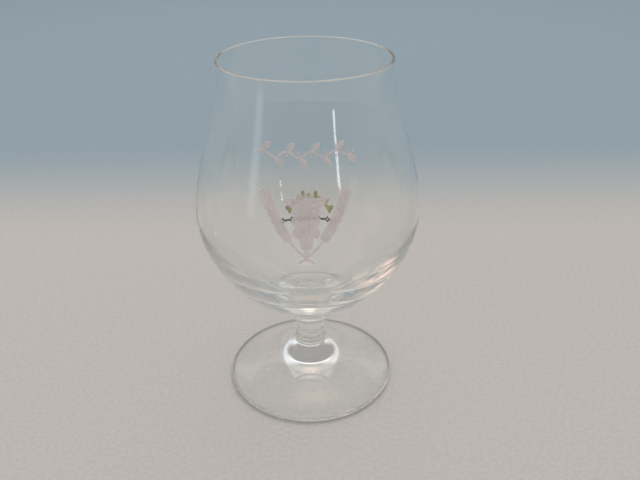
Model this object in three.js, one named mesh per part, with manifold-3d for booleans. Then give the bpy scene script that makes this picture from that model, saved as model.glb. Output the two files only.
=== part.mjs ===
// Stemmed beer glass: a pressed foot, a drawn stem and a blown tulip bowl, fused one on the other, with fired
// enamel prints on the bowl. Millimetres, +Z up, origin on the table under the axis, front towards -Y.

import * as THREE from 'three';
import { mergeVertices } from 'three/addons/utils/BufferGeometryUtils.js';
import Module from 'manifold-3d';

// Foot: a trumpet that rises from a rounded edge to a bell-shaped boss, slightly hollow underneath.
const FOOT_RADIUS = 37.4;
const FOOT_EDGE_HEIGHT = 3;
const FOOT_REST_WIDTH = 5;
const FOOT_HOLLOW_DEPTH = 0.8;
const FOOT_CONE_RISE = 7;
const FOOT_CONE_SAG = { across: 0.43, up: 0.32 };
const BOSS_FLARE_RADIUS = 15.5;
const BOSS_RISE = 8.3;
const BOSS_HOLLOW = 5;
const BOSS_SWELL = 4;
const BOSS_SWELL_DROP = 3;
const BOSS_LEDGE = 0.4;

// Stem: a low knop just above the foot, then a waist, then a slow spread up to the bowl.
const STEM_BASE_RADIUS = 6.8;
const KNOP_SWELL = 0.45;
const KNOP_HEIGHT = 1.2;
const WAIST_RADIUS = 6;
const WAIST_ABOVE_KNOP = 3.8;
const STEM_ABOVE_WAIST = 6;
const STEM_TOP_RADIUS = 7;
const STEM_TOP_LEAN = 0.25;

// Bowl: a drawn root over the stem, a round belly and a neck that draws in to a fire-polished rim.
const ROOT_HEIGHT = 9.1;
const ROOT_SPREAD = 8;
const BELLY_DEPTH = 48;
const BELLY_RADIUS = 46.25;
const BELLY_LEAN = 0.616;
const BELLY_FULLNESS = { root: 0.835, ring: 0.2325 };
const NECK_HEIGHT = 61.6;
const NECK_FULLNESS = { ring: 0.28, rim: 0.26 };
const RIM_RADIUS = 33.8;
const RIM_WALL = 1.3;
const BELLY_WALL = 1.5;
const FLOOR_HEIGHT = 17;
const INSIDE_FULLNESS = { floor: 0.56, ring: 0.45 };

// Prints: enamel of even thickness that lies over the outside of the bowl.
const PRINT_THICKNESS = 0.15;
const PRINT_CLEARANCE = 0.05;
const PRINT_REACH = 4;

// Border print: a waving vine with a leaf on each crest.
const BORDER_BELOW_RIM = 24.2;
const BORDER_LENGTH = 34;
const BORDER_WAVES = 4;
const VINE_SWING = 1;
const VINE_WIDTH = 0.7;
const VINE_LEAF = { length: 4.2, width: 2.2 };
const VINE_LEAF_TURN = 0.8;

// Motif print: a hop cone with its leaves over two crossed ears of barley.
const MOTIF_BELOW_BORDER = 23;
const HOP_TOP = 5;
const HOP_ROWS = 6;
const HOP_PITCH = 2.1;
const HOP_SPREAD = 3;
const HOP_TAPER = 0.8 * Math.PI;
const BRACT = { length: 4.8, width: 3.4 };
const BRACT_FAN = 0.3;
const BRACT_PLACES = { wide: [-1, 0, 1], narrow: [-0.5, 0.5] };
const HOP_STALK = { width: 0.9, below: 2, above: 5.5 };
const HOP_LEAF = { length: 8.5, width: 3.6 };
const HOP_LEAF_TURN = 1.2;
const HOP_LEAF_LOBES = [{ turn: -0.7, share: 0.7 }, { turn: 0, share: 1 }, { turn: 0.7, share: 0.7 }];
const EAR_FOOT = { x: -3, y: -15.5 };
const EAR_BEND = { x: 7.5, y: -9 };
const EAR_TIP = { x: 14, y: 9 };
const EAR_STALK_WIDTH = 0.8;
const EAR_GRAINS = 8;
const EAR_SHARES = { first: 0.45, last: 0.95 };
const GRAIN = { length: 4, width: 1.9 };
const GRAIN_TURN = 0.42;
const TIE = { length: 5.4, width: 3, y: -12.2 };

// Gold print: an arch with beads and leaves, on the back wall below the widest ring.
const ARCH_BELOW_RING = 27.5;
const ARCH_RADIUS = 11;
const ARCH_WIDTH = 1.4;
const ARCH_HALF_SPAN = 1.2;
const ARCH_BEAD_RADIUS = 1.25;
const ARCH_BEADS = [-0.5, 0, 0.5];
const ARCH_LEAF = { length: 3, width: 2 };
const ARCH_LEAVES = [-1.05, -0.75, -0.25, 0.25, 0.75, 1.05];

// Black print: a thin rule with lozenges, under the ends of the arch.
const RULE_BELOW_ARCH = 2.9;
const RULE_LENGTH = 29;
const RULE_WIDTH = 0.8;
const RULE_LOZENGES = 7;
const LOZENGE = { length: 2.8, width: 2.2 };

// Finishes: colour, roughness and opacity of the glass and of each enamel.
const CLEAR_GLASS = { color: 0xdfe6e4, roughness: 0.04, opacity: 0.35 };
const WHITE_ENAMEL = { color: 0xd8d0cc, roughness: 0.6, opacity: 0.6 };
const GOLD_ENAMEL = { color: 0x8f8440, roughness: 0.6, opacity: 1 };
const BLACK_ENAMEL = { color: 0x24211f, roughness: 0.6, opacity: 1 };

// Facets.
const AROUND = 56;
const STRAIGHT = 1;
const UNDERSIDE_STEPS = 6;
const FOOT_EDGE_STEPS = 6;
const FOOT_CONE_STEPS = 6;
const BOSS_STEPS = 8;
const KNOP_STEPS = 3;
const WAIST_STEPS = 6;
const SPREAD_STEPS = 5;
const ROOT_STEPS = 4;
const RIM_STEPS = 4;
const LEAF_STEPS = 4;
const BELLY_STEPS = 10;
const NECK_STEPS = 9;
const VINE_STEPS = 40;
const BEAD_STEPS = 12;
const ARCH_STEPS = 14;
const EAR_STEPS = 10;

const FOOT_CONE_HEIGHT = FOOT_EDGE_HEIGHT + FOOT_CONE_RISE;
const FOOT_HEIGHT = FOOT_CONE_HEIGHT + BOSS_RISE;
const WAIST_HEIGHT = KNOP_HEIGHT + WAIST_ABOVE_KNOP;
const STEM_LENGTH = WAIST_HEIGHT + STEM_ABOVE_WAIST;
const WIDEST_RING = ROOT_HEIGHT + BELLY_DEPTH;
const BOWL_HEIGHT = WIDEST_RING + NECK_HEIGHT;
const BORDER_HEIGHT = BOWL_HEIGHT - BORDER_BELOW_RIM;
const MOTIF_HEIGHT = BORDER_HEIGHT - MOTIF_BELOW_BORDER;
const ARCH_HEIGHT = WIDEST_RING - ARCH_BELOW_RING;
const RULE_HEIGHT = ARCH_HEIGHT + ARCH_RADIUS * Math.cos(ARCH_HALF_SPAN) - RULE_BELOW_ARCH;

// Sides of the bowl that a print is wrapped on, and sides of a motif.
const FRONT = 0;
const BACK = Math.PI;
const LEFT = -1;
const RIGHT = 1;

const wasm = await Module();
wasm.setup();

const { lerp } = THREE.MathUtils;

const point = (r, z) => new THREE.Vector2(r, z);

const line = (from, to) => new THREE.LineCurve(from, to);

const bend = (from, pull, to) => new THREE.QuadraticBezierCurve(from, pull, to);

const sweep = (from, pull, push, to) => new THREE.CubicBezierCurve(from, pull, push, to);

// Arc of an ellipse that is drawn anticlockwise from one angle to the other.
const arc = (centre, width, height, from, to) =>
  new THREE.EllipseCurve(centre.x, centre.y, width, height, from, to);

// Points along a chain of [curve, steps], without the doubled point where two curves meet.
function trace(chain) {
  const points = chain.flatMap(([curve, steps]) => curve.getPoints(steps).slice(1));
  return [chain[0][0].getPoint(0), ...points];
}

// Solid of revolution about Z from a profile of (radius, height).
function revolve(profile) {
  return new THREE.LatheGeometry(profile, AROUND).rotateX(Math.PI / 2);
}

function toSolid(geometry) {
  const bare = geometry.clone();
  bare.deleteAttribute('normal');
  bare.deleteAttribute('uv');
  const merged = mergeVertices(bare);
  const vertProperties = new Float32Array(merged.attributes.position.array);
  const triVerts = new Uint32Array(merged.index.array);
  return new wasm.Manifold(new wasm.Mesh({ numProp: 3, vertProperties, triVerts }));
}

function toGeometry(solid) {
  const mesh = solid.getMesh();
  const geometry = new THREE.BufferGeometry();
  geometry.setAttribute('position', new THREE.BufferAttribute(mesh.vertProperties, 3));
  geometry.setIndex(new THREE.BufferAttribute(mesh.triVerts, 1));
  geometry.computeVertexNormals();
  return geometry;
}

// Foot: underside hollow, resting ring, rounded edge, trumpet, ogee of the boss, seat of the stem.
function footProfile() {
  const edge = FOOT_EDGE_HEIGHT / 2;
  const edgeCentre = point(FOOT_RADIUS - edge, edge);
  const hollowRadius = edgeCentre.x - FOOT_REST_WIDTH;
  const edgeTop = point(edgeCentre.x, FOOT_EDGE_HEIGHT);
  const flare = point(BOSS_FLARE_RADIUS, FOOT_CONE_HEIGHT);
  const sag = point(lerp(flare.x, edgeTop.x, FOOT_CONE_SAG.across), lerp(edgeTop.y, flare.y, FOOT_CONE_SAG.up));
  const rising = flare.clone().sub(sag).normalize();
  const seat = point(STEM_BASE_RADIUS + BOSS_LEDGE, FOOT_HEIGHT);
  const hollowPull = flare.clone().addScaledVector(rising, BOSS_HOLLOW);
  const swellPull = point(seat.x + BOSS_SWELL, seat.y - BOSS_SWELL_DROP);
  const underside = bend(
    point(0, FOOT_HOLLOW_DEPTH), point(hollowRadius / 2, FOOT_HOLLOW_DEPTH), point(hollowRadius, 0));
  return trace([
    [underside, UNDERSIDE_STEPS],
    [line(point(hollowRadius, 0), point(edgeCentre.x, 0)), STRAIGHT],
    [arc(edgeCentre, edge, edge, -Math.PI / 2, Math.PI / 2), FOOT_EDGE_STEPS],
    [bend(edgeTop, sag, flare), FOOT_CONE_STEPS],
    [sweep(flare, hollowPull, swellPull, seat), BOSS_STEPS],
    [line(seat, point(0, FOOT_HEIGHT)), STRAIGHT],
  ]);
}

// Stem: quarter-round base of the knop, ogee down to the waist, spread to the bowl's root.
function stemProfile() {
  const knopRadius = STEM_BASE_RADIUS + KNOP_SWELL;
  const base = point(STEM_BASE_RADIUS, 0);
  const knop = point(knopRadius, KNOP_HEIGHT);
  const waist = point(WAIST_RADIUS, WAIST_HEIGHT);
  const top = point(STEM_TOP_RADIUS, STEM_LENGTH);
  const ogee = KNOP_HEIGHT + WAIST_ABOVE_KNOP / 2;
  const handle = STEM_ABOVE_WAIST / 2;
  const topPull = point(top.x - STEM_TOP_LEAN * handle, top.y - handle);
  return trace([
    [line(point(0, 0), base), STRAIGHT],
    [bend(base, point(knopRadius, 0), knop), KNOP_STEPS],
    [sweep(knop, point(knopRadius, ogee), point(WAIST_RADIUS, ogee), waist), WAIST_STEPS],
    [sweep(waist, point(WAIST_RADIUS, WAIST_HEIGHT + handle), topPull, top), SPREAD_STEPS],
    [line(top, point(0, STEM_LENGTH)), STRAIGHT],
  ]);
}

// Outside of the belly, from the root to the widest ring.
function bellyCurve() {
  const joint = point(STEM_TOP_RADIUS + ROOT_SPREAD, ROOT_HEIGHT);
  const across = (BELLY_RADIUS - joint.x) * BELLY_FULLNESS.root;
  return sweep(
    joint,
    point(joint.x + across, joint.y + across * Math.tan(BELLY_LEAN)),
    point(BELLY_RADIUS, WIDEST_RING - BELLY_DEPTH * BELLY_FULLNESS.ring),
    point(BELLY_RADIUS, WIDEST_RING));
}

// Neck from the widest ring to the rounding of the rim, with the wall taken off at each end.
function neckCurve(ringWall, rimWall) {
  const ring = BELLY_RADIUS - ringWall;
  const rim = RIM_RADIUS - rimWall;
  const top = BOWL_HEIGHT - RIM_WALL / 2;
  return sweep(
    point(ring, WIDEST_RING),
    point(ring, WIDEST_RING + NECK_HEIGHT * NECK_FULLNESS.ring),
    point(rim, top - NECK_HEIGHT * NECK_FULLNESS.rim),
    point(rim, top));
}

// Inside of the belly, from the middle of the thick floor to the widest ring.
function insideCurve() {
  const ring = BELLY_RADIUS - BELLY_WALL;
  return sweep(
    point(0, FLOOR_HEIGHT),
    point(ring * INSIDE_FULLNESS.floor, FLOOR_HEIGHT),
    point(ring, WIDEST_RING - (WIDEST_RING - FLOOR_HEIGHT) * INSIDE_FULLNESS.ring),
    point(ring, WIDEST_RING));
}

// Root: leans on from the side of the stem and runs into the belly without a break.
function rootCurve() {
  const weld = point(STEM_TOP_RADIUS, 0);
  const slope = Math.tan(BELLY_LEAN);
  const height = (ROOT_HEIGHT - slope * ROOT_SPREAD) / (1 - slope * STEM_TOP_LEAN);
  return bend(weld, point(weld.x + STEM_TOP_LEAN * height, height), bellyCurve().v0);
}

// Bowl: root, belly, neck, rounded rim, then the inside down to the thick floor.
function bowlProfile() {
  const rimCentre = point(RIM_RADIUS - RIM_WALL / 2, BOWL_HEIGHT - RIM_WALL / 2);
  const root = rootCurve();
  const outside = trace([
    [line(point(0, 0), root.v0), STRAIGHT],
    [root, ROOT_STEPS],
    [bellyCurve(), BELLY_STEPS],
    [neckCurve(0, 0), NECK_STEPS],
    [arc(rimCentre, RIM_WALL / 2, RIM_WALL / 2, 0, Math.PI), RIM_STEPS],
  ]);
  const inside = trace([
    [insideCurve(), BELLY_STEPS],
    [neckCurve(BELLY_WALL, RIM_WALL), NECK_STEPS],
  ]);
  inside.pop();
  return [...outside, ...inside.reverse()];
}

// Points of a curve set off to its right.
function offset(curve, distance, steps) {
  return Array.from({ length: steps + 1 }, (unused, step) => {
    const tangent = curve.getTangent(step / steps);
    return curve.getPoint(step / steps).addScaledVector(point(tangent.y, -tangent.x), distance);
  });
}

// Skin that the prints are cut from: a closed sleeve over the outside of the belly and neck.
function printSkin() {
  const layer = (distance) => [
    ...offset(bellyCurve(), distance, BELLY_STEPS),
    ...offset(neckCurve(0, 0), distance, NECK_STEPS).slice(1),
  ];
  const inner = layer(PRINT_CLEARANCE);
  const outer = layer(PRINT_CLEARANCE + PRINT_THICKNESS);
  return toSolid(revolve([...outer, ...inner.reverse(), outer[0]]));
}

// Prism of a sketch that is turned, then moved in the plane of the print.
function stamp(shape, x, y, turn = 0, steps = LEAF_STEPS) {
  const depth = BELLY_RADIUS + PRINT_REACH;
  const prism = new THREE.ExtrudeGeometry(shape, { depth, bevelEnabled: false, curveSegments: steps });
  return toSolid(prism.rotateZ(turn).translate(x, y, 0));
}

const joined = (solids) => solids.reduce((sum, solid) => sum.add(solid));

// Wraps a flat print round the bowl, with its origin at a height over the weld and on one side of the axis.
function wrapPrint(solids, height, side) {
  const flat = toGeometry(joined(solids)).rotateX(Math.PI / 2).rotateZ(side).translate(0, 0, height);
  return toGeometry(toSolid(flat).intersect(printSkin()));
}

// Leaf with a point at each end, from its stalk at the origin along +Y.
function leafShape({ length, width }) {
  const shape = new THREE.Shape();
  shape.moveTo(0, 0);
  shape.quadraticCurveTo(width, length / 2, 0, length);
  shape.quadraticCurveTo(-width, length / 2, 0, 0);
  return shape;
}

function lozengeShape({ length, width }) {
  return new THREE.Shape([
    point(0, -length / 2), point(width / 2, 0), point(0, length / 2), point(-width / 2, 0)]);
}

// Band of even width along a curve.
function bandShape(curve, width, steps) {
  const right = offset(curve, width / 2, steps);
  const left = offset(curve, -width / 2, steps);
  return new THREE.Shape([...right, ...left.reverse()]);
}

// Waving line of the vine.
class Vine extends THREE.Curve {
  getPoint(share, target = new THREE.Vector2()) {
    const phase = 2 * Math.PI * BORDER_WAVES * share;
    return target.set((share - 0.5) * BORDER_LENGTH, VINE_SWING * Math.sin(phase));
  }
}

function borderPrint() {
  const vine = new Vine();
  const leaf = leafShape(VINE_LEAF);
  const solids = [stamp(bandShape(vine, VINE_WIDTH, VINE_STEPS), 0, 0)];
  for (let crest = 0; crest < 2 * BORDER_WAVES; crest += 1) {
    const at = vine.getPoint((crest + 0.5) / (2 * BORDER_WAVES));
    const upward = crest % 2 === 0;
    const turn = upward ? -VINE_LEAF_TURN : Math.PI + VINE_LEAF_TURN;
    solids.push(stamp(leaf, at.x, at.y, turn));
  }
  return solids;
}

// Rows of bracts from the tip up to the stalk, in turn three and two abreast.
function hopCone() {
  const bract = leafShape(BRACT);
  const solids = [];
  for (let row = 0; row < HOP_ROWS; row += 1) {
    const y = HOP_TOP - (HOP_ROWS - 1 - row) * HOP_PITCH;
    const spread = HOP_SPREAD * Math.sin(HOP_TAPER * row / (HOP_ROWS - 1));
    const places = row % 2 === 0 ? BRACT_PLACES.wide : BRACT_PLACES.narrow;
    for (const place of places) solids.push(stamp(bract, place * spread, y, Math.PI + place * BRACT_FAN));
  }
  return solids;
}

// Three-lobed leaf on each side of the stalk.
function hopLeaves() {
  const solids = [];
  for (const side of [LEFT, RIGHT]) {
    for (const { turn, share } of HOP_LEAF_LOBES) {
      const lobe = leafShape({ length: HOP_LEAF.length * share, width: HOP_LEAF.width * share });
      solids.push(stamp(lobe, 0, HOP_TOP, side * (HOP_LEAF_TURN + turn)));
    }
  }
  return solids;
}

// Ear of barley: a bent stalk with grains in pairs up to its tip.
function barleyEar(side) {
  const at = ({ x, y }) => point(side * x, y);
  const stalk = bend(at(EAR_FOOT), at(EAR_BEND), at(EAR_TIP));
  const grain = leafShape(GRAIN);
  const solids = [stamp(bandShape(stalk, EAR_STALK_WIDTH, EAR_STEPS), 0, 0)];
  for (let index = 0; index < EAR_GRAINS; index += 1) {
    const share = lerp(EAR_SHARES.first, EAR_SHARES.last, index / (EAR_GRAINS - 1));
    const place = stalk.getPoint(share);
    const tangent = stalk.getTangent(share);
    const along = Math.atan2(tangent.y, tangent.x) - Math.PI / 2;
    const turns = index < EAR_GRAINS - 1 ? [-GRAIN_TURN, GRAIN_TURN] : [-GRAIN_TURN, 0, GRAIN_TURN];
    for (const turn of turns) solids.push(stamp(grain, place.x, place.y, along + turn));
  }
  return solids;
}

function motifPrint() {
  const stalk = line(point(0, HOP_TOP - HOP_STALK.below), point(0, HOP_TOP + HOP_STALK.above));
  return [
    ...hopCone(),
    stamp(bandShape(stalk, HOP_STALK.width, STRAIGHT), 0, 0),
    ...hopLeaves(),
    ...barleyEar(LEFT),
    ...barleyEar(RIGHT),
    stamp(lozengeShape(TIE), 0, TIE.y),
  ];
}

function archPrint() {
  const span = arc(point(0, 0), ARCH_RADIUS, ARCH_RADIUS,
    Math.PI / 2 - ARCH_HALF_SPAN, Math.PI / 2 + ARCH_HALF_SPAN);
  const bead = new THREE.Shape().absarc(0, 0, ARCH_BEAD_RADIUS, 0, 2 * Math.PI);
  const leaf = leafShape(ARCH_LEAF);
  const solids = [stamp(bandShape(span, ARCH_WIDTH, ARCH_STEPS), 0, 0)];
  const put = (shape, angle, steps) => solids.push(stamp(
    shape, -ARCH_RADIUS * Math.sin(angle), ARCH_RADIUS * Math.cos(angle), angle, steps));
  for (const angle of ARCH_BEADS) put(bead, angle, BEAD_STEPS);
  for (const angle of ARCH_LEAVES) put(leaf, angle, LEAF_STEPS);
  return solids;
}

function rulePrint() {
  const rule = line(point(-RULE_LENGTH / 2, 0), point(RULE_LENGTH / 2, 0));
  const lozenge = lozengeShape(LOZENGE);
  const solids = [stamp(bandShape(rule, RULE_WIDTH, STRAIGHT), 0, 0)];
  for (let index = 0; index < RULE_LOZENGES; index += 1) {
    const x = (index / (RULE_LOZENGES - 1) - 0.5) * (RULE_LENGTH - LOZENGE.width);
    solids.push(stamp(lozenge, x, 0));
  }
  return solids;
}

function piece(name, geometry, { color, roughness, opacity }) {
  const transparent = opacity < 1;
  const material = new THREE.MeshStandardMaterial({ color, roughness, metalness: 0, opacity, transparent });
  const mesh = new THREE.Mesh(geometry, material);
  mesh.name = name;
  return mesh;
}

const glass = (name, profile) => piece(name, revolve(profile), CLEAR_GLASS);

const enamel = (name, solids, height, side, finish) => piece(name, wrapPrint(solids, height, side), finish);

const foot = glass('foot', footProfile());
const stem = glass('stem', stemProfile());
stem.position.z = FOOT_HEIGHT;

const upper = new THREE.Group();
upper.position.z = FOOT_HEIGHT + STEM_LENGTH;
upper.add(
  glass('bowl', bowlProfile()),
  enamel('front_border_print', borderPrint(), BORDER_HEIGHT, FRONT, WHITE_ENAMEL),
  enamel('front_motif_print', motifPrint(), MOTIF_HEIGHT, FRONT, WHITE_ENAMEL),
  enamel('back_gold_print', archPrint(), ARCH_HEIGHT, BACK, GOLD_ENAMEL),
  enamel('back_black_print', rulePrint(), RULE_HEIGHT, BACK, BLACK_ENAMEL),
);

const beerGlass = new THREE.Group();
beerGlass.add(foot, stem, upper);

export default beerGlass;
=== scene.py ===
"""Stemmed beer glass: pressed foot, drawn stem and blown tulip bowl of clear glass, enamel prints.

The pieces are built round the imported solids, in metres, +Z up, the front of the glass towards -Y.
"""

import math

import bpy
import numpy as np
from bpy.props import FloatProperty, FloatVectorProperty, PointerProperty
from bpy.types import Operator, Panel, PropertyGroup
from mathutils import Matrix, Vector
from mathutils.geometry import delaunay_2d_cdt


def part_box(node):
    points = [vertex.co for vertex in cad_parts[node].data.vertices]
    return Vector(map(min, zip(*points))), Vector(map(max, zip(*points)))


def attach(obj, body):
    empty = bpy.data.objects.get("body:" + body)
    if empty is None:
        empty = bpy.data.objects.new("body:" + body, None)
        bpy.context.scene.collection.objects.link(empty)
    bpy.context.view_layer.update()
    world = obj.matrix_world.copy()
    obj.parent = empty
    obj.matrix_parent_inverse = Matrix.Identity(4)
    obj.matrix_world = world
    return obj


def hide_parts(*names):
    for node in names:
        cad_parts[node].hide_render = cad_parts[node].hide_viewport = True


bl_info = {
    "name": "Stemmed beer glass",
    "version": (1, 0, 0),
    "blender": (4, 5, 0),
    "location": "View3D > Sidebar > Beer glass",
    "description": "Builds a stemmed beer glass with enamel prints round its packed solids",
    "category": "Object",
}

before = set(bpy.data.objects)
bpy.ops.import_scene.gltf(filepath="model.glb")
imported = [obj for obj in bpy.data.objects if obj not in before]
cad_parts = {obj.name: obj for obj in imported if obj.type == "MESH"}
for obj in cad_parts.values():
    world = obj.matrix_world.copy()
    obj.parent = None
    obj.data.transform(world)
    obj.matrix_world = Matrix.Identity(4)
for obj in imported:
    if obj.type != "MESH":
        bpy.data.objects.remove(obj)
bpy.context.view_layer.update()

MM = 0.001
FOOT_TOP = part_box("foot")[1]
STEM_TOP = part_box("stem")[1]
BOWL_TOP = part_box("bowl")[1]

# Shares that give the curves their fullness.
CONE_SAG_ACROSS = 0.43
CONE_SAG_UP = 0.32
STEM_TOP_LEAN = 0.25
BELLY_LEAN = 0.616
BELLY_FULL_ROOT = 0.835
BELLY_FULL_RING = 0.2325
NECK_FULL_RING = 0.28
NECK_FULL_RIM = 0.26
INSIDE_FULL_FLOOR = 0.56
INSIDE_FULL_RING = 0.45

# Faces that are fused to the next piece carry this mark and stand this far back from it.
WELD = "weld"
WELD_GAP = 0.001 * MM

# Marks of the making: slow waves in the walls, drawn rings in the thick floor, a pip in its middle.
OUTSIDE_WAVE = 0.012 * MM
INSIDE_WAVE = 0.06 * MM
FOOT_WAVE = 0.03 * MM
BOWL_WAVES_FROM = 0.3
WAVES_AROUND = 3
WAVES_START = 0.7
CROSS_WAVE = 0.5
CROSS_WAVES_AROUND = 5
CROSS_WAVES_TWIST = 90
FLOOR_RING_DEPTH = 0.035 * MM
FLOOR_RING_PITCH = 2.6 * MM
FLOOR_RINGS_FROM = 9 * MM
FLOOR_RINGS_TO = 32 * MM
PIP_RADIUS = 0.7 * MM
PIP_DEPTH = 0.3 * MM

# Facets. Points nearer to the axis than ON_AXIS lie on it.
AROUND = 144
ON_AXIS = 1e-9
SHARP_ANGLE = math.radians(40)
LONG_CURVE = 64
MIDDLE_CURVE = 28
SHORT_CURVE = 14
LEAF_STEPS = 10
DISC_STEPS = 24
GRID = 1.4 * MM

# Flat ink is cut in millimetres, inside its outlines only, and points this near become one.
CUT_INSIDE = 1
CUT_MERGE = 1e-4


def length(label, about, value):
    """Property for a length."""
    return FloatProperty(
        name=label, description=about, default=value, min=0, precision=5,
        subtype="DISTANCE", unit="LENGTH")


def share(label, about, value):
    """Property for a number from nought to one."""
    return FloatProperty(
        name=label, description=about, default=value, min=0, max=1, subtype="FACTOR")


def colour(label, about, value):
    """Property for a colour."""
    return FloatVectorProperty(
        name=label, description=about, default=value, size=3, min=0, max=1, subtype="COLOR")


class FootSizes(PropertyGroup):
    """Sizes of the foot."""

    radius: length("Radius", "Outer radius", FOOT_TOP.x)
    height: length("Height", "Height of the seat of the stem", FOOT_TOP.z)
    edge: length("Edge", "Thickness of the rounded edge", 3 * MM)
    rest: length("Resting ring", "Width of the flat ring that it stands on", 5 * MM)
    hollow: length("Hollow", "Depth of the hollow underside", 0.8 * MM)
    cone: length("Trumpet", "Rise of the trumpet over the edge", 7 * MM)
    flare: length("Flare", "Radius where the boss starts to rise", 15.5 * MM)
    boss_hollow: length("Boss hollow", "Pull of the hollow at the bottom of the boss", 5 * MM)
    boss_swell: length("Boss swell", "Pull of the swell at the top of the boss", 4 * MM)
    boss_drop: length("Boss drop", "Height of the swell at the top of the boss", 3 * MM)
    ledge: length("Ledge", "Width of the ledge round the stem", 0.4 * MM)


class StemSizes(PropertyGroup):
    """Sizes of the stem."""

    base: length("Base radius", "Radius where it stands on the foot", 6.8 * MM)
    knop_swell: length("Knop swell", "How far the knop stands out over the base", 0.45 * MM)
    knop_height: length("Knop height", "Height of the widest line of the knop", 1.2 * MM)
    waist: length("Waist radius", "Radius of the waist", 6 * MM)
    waist_rise: length("Waist rise", "Height of the waist over the knop", 3.8 * MM)
    top: length("Top radius", "Radius where the bowl starts", 7 * MM)


class BowlSizes(PropertyGroup):
    """Sizes of the bowl."""

    root_height: length("Root height", "Height of the drawn root under the belly", 9.1 * MM)
    root_spread: length("Root spread", "How far the root spreads", 8 * MM)
    belly_depth: length("Belly depth", "From the root up to the widest ring", 48 * MM)
    belly: length("Belly radius", "Radius of the widest ring", BOWL_TOP.x)
    rim: length("Rim radius", "Outer radius of the rim", 33.8 * MM)
    rim_wall: length("Rim wall", "Thickness of the wall at the rim", 1.3 * MM)
    belly_wall: length("Belly wall", "Thickness of the wall at the widest ring", 1.5 * MM)
    floor: length("Floor", "Height of the inner floor over the stem", 17 * MM)


class PrintSizes(PropertyGroup):
    """Sizes of the enamel prints."""

    thickness: length("Thickness", "Thickness of the enamel", 0.15 * MM)
    clearance: length("Clearance", "Gap between enamel and glass", 0.05 * MM)
    border_below_rim: length("Border", "From the rim down to the border", 24.2 * MM)
    border_length: length("Border length", "Length of the vine", 34 * MM)
    motif_below_border: length("Motif", "From the border down to the middle of the motif", 23 * MM)
    arch_below_ring: length(
        "Arch", "From the widest ring down to the middle of the arch", 27.5 * MM)
    arch_radius: length("Arch radius", "Radius of the gold arch", 11 * MM)
    rule_below_arch: length("Rule", "From the ends of the arch down to the black rule", 2.9 * MM)
    rule_length: length("Rule length", "Length of the black rule", 29 * MM)


class Finishes(PropertyGroup):
    """Colours of the glass and of the enamels."""

    glass: colour("Glass", "Colour of the clear glass", (0.985, 0.995, 0.99))
    depth: colour(
        "Glass depth", "Colour that the glass takes where it is thick", (0.86, 0.88, 0.86))
    white: colour("White enamel", "Colour of the translucent white enamel", (0.93, 0.865, 0.868))
    white_cover: share("White cover", "How much each face of the white enamel hides", 0.65)
    gold: colour("Gold enamel", "Colour of the gold enamel", (0.46, 0.41, 0.18))
    black: colour("Black enamel", "Colour of the black enamel", (0.05, 0.045, 0.044))


class Stage(PropertyGroup):
    """Colours of the stage."""

    near: colour("Floor", "Colour of the floor under the glass", (0.478, 0.462, 0.445))
    # The far floor is darker as well as cooler: partly the fleece's own cool tone, partly painted
    # shade of its rising fold.
    far_tone_and_shade: colour("Far floor", "Colour of the floor behind the glass", (0.262, 0.336, 0.388))
    sky: colour("Surroundings", "Colour of the light from all round", (0.36, 0.35, 0.335))
    ceiling: colour("Ceiling", "Colour of the light from above", (0.80, 0.765, 0.73))
    front: colour("Front", "Colour of the dim light from behind the camera", (0.19, 0.19, 0.185))


class BeerGlass(PropertyGroup):
    """All settings of the beer glass."""

    foot: PointerProperty(type=FootSizes, name="Foot", description="Sizes of the foot")
    stem: PointerProperty(type=StemSizes, name="Stem", description="Sizes of the stem")
    bowl: PointerProperty(type=BowlSizes, name="Bowl", description="Sizes of the bowl")
    prints: PointerProperty(type=PrintSizes, name="Prints", description="Sizes of the prints")
    finishes: PointerProperty(type=Finishes, name="Finishes", description="Colours of the glass")
    stage: PointerProperty(type=Stage, name="Stage", description="Colours of the stage")


# Curves in the plane.


def at(across, up):
    """Point of a profile or of a flat print."""
    return Vector((across, up))


def bezier(controls, steps):
    """Points of a Bezier curve of any degree, with both ends."""
    points = []
    for step in range(steps + 1):
        row = controls
        while len(row) > 1:
            row = [first.lerp(second, step / steps) for first, second in zip(row, row[1:])]
        points.append(row[0])
    return points


def arc(centre, radius, start, end, steps):
    """Points of an arc, anticlockwise from one angle to the other."""
    angles = [start + (end - start) * step / steps for step in range(steps + 1)]
    return [centre + radius * at(math.cos(angle), math.sin(angle)) for angle in angles]


def chain(*runs):
    """One line through runs of points that start where the last one ended."""
    points = list(runs[0])
    for run in runs[1:]:
        points += run[1:]
    return points


def offset(points, distance):
    """Points of a line set off to its right."""
    moved = []
    for index, point in enumerate(points):
        along = points[min(index + 1, len(points) - 1)] - points[max(index - 1, 0)]
        moved.append(point + distance * at(along.y, -along.x).normalized())
    return moved


# Profiles of the glass, as (radius, height).


def foot_profile(foot, stem):
    """Hollow underside, resting ring, rounded edge, trumpet, ogee of the boss, seat of the stem."""
    edge = foot.edge / 2
    edge_centre = at(foot.radius - edge, edge)
    hollow_radius = edge_centre.x - foot.rest
    edge_top = at(edge_centre.x, foot.edge)
    flare = at(foot.flare, foot.edge + foot.cone)
    sag = at(
        flare.x + (edge_top.x - flare.x) * CONE_SAG_ACROSS,
        edge_top.y + (flare.y - edge_top.y) * CONE_SAG_UP)
    seat = at(stem.base + foot.ledge, foot.height - WELD_GAP)
    hollow_pull = flare + foot.boss_hollow * (flare - sag).normalized()
    swell_pull = at(seat.x + foot.boss_swell, seat.y - foot.boss_drop)
    underside = [at(0, foot.hollow), at(hollow_radius / 2, foot.hollow), at(hollow_radius, 0)]
    return chain(
        bezier(underside, MIDDLE_CURVE),
        [at(hollow_radius, 0), at(edge_centre.x, 0)],
        arc(edge_centre, edge, -math.pi / 2, math.pi / 2, SHORT_CURVE),
        bezier([edge_top, sag, flare], MIDDLE_CURVE),
        bezier([flare, hollow_pull, swell_pull, seat], MIDDLE_CURVE),
        [seat, at(0, seat.y)])


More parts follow.
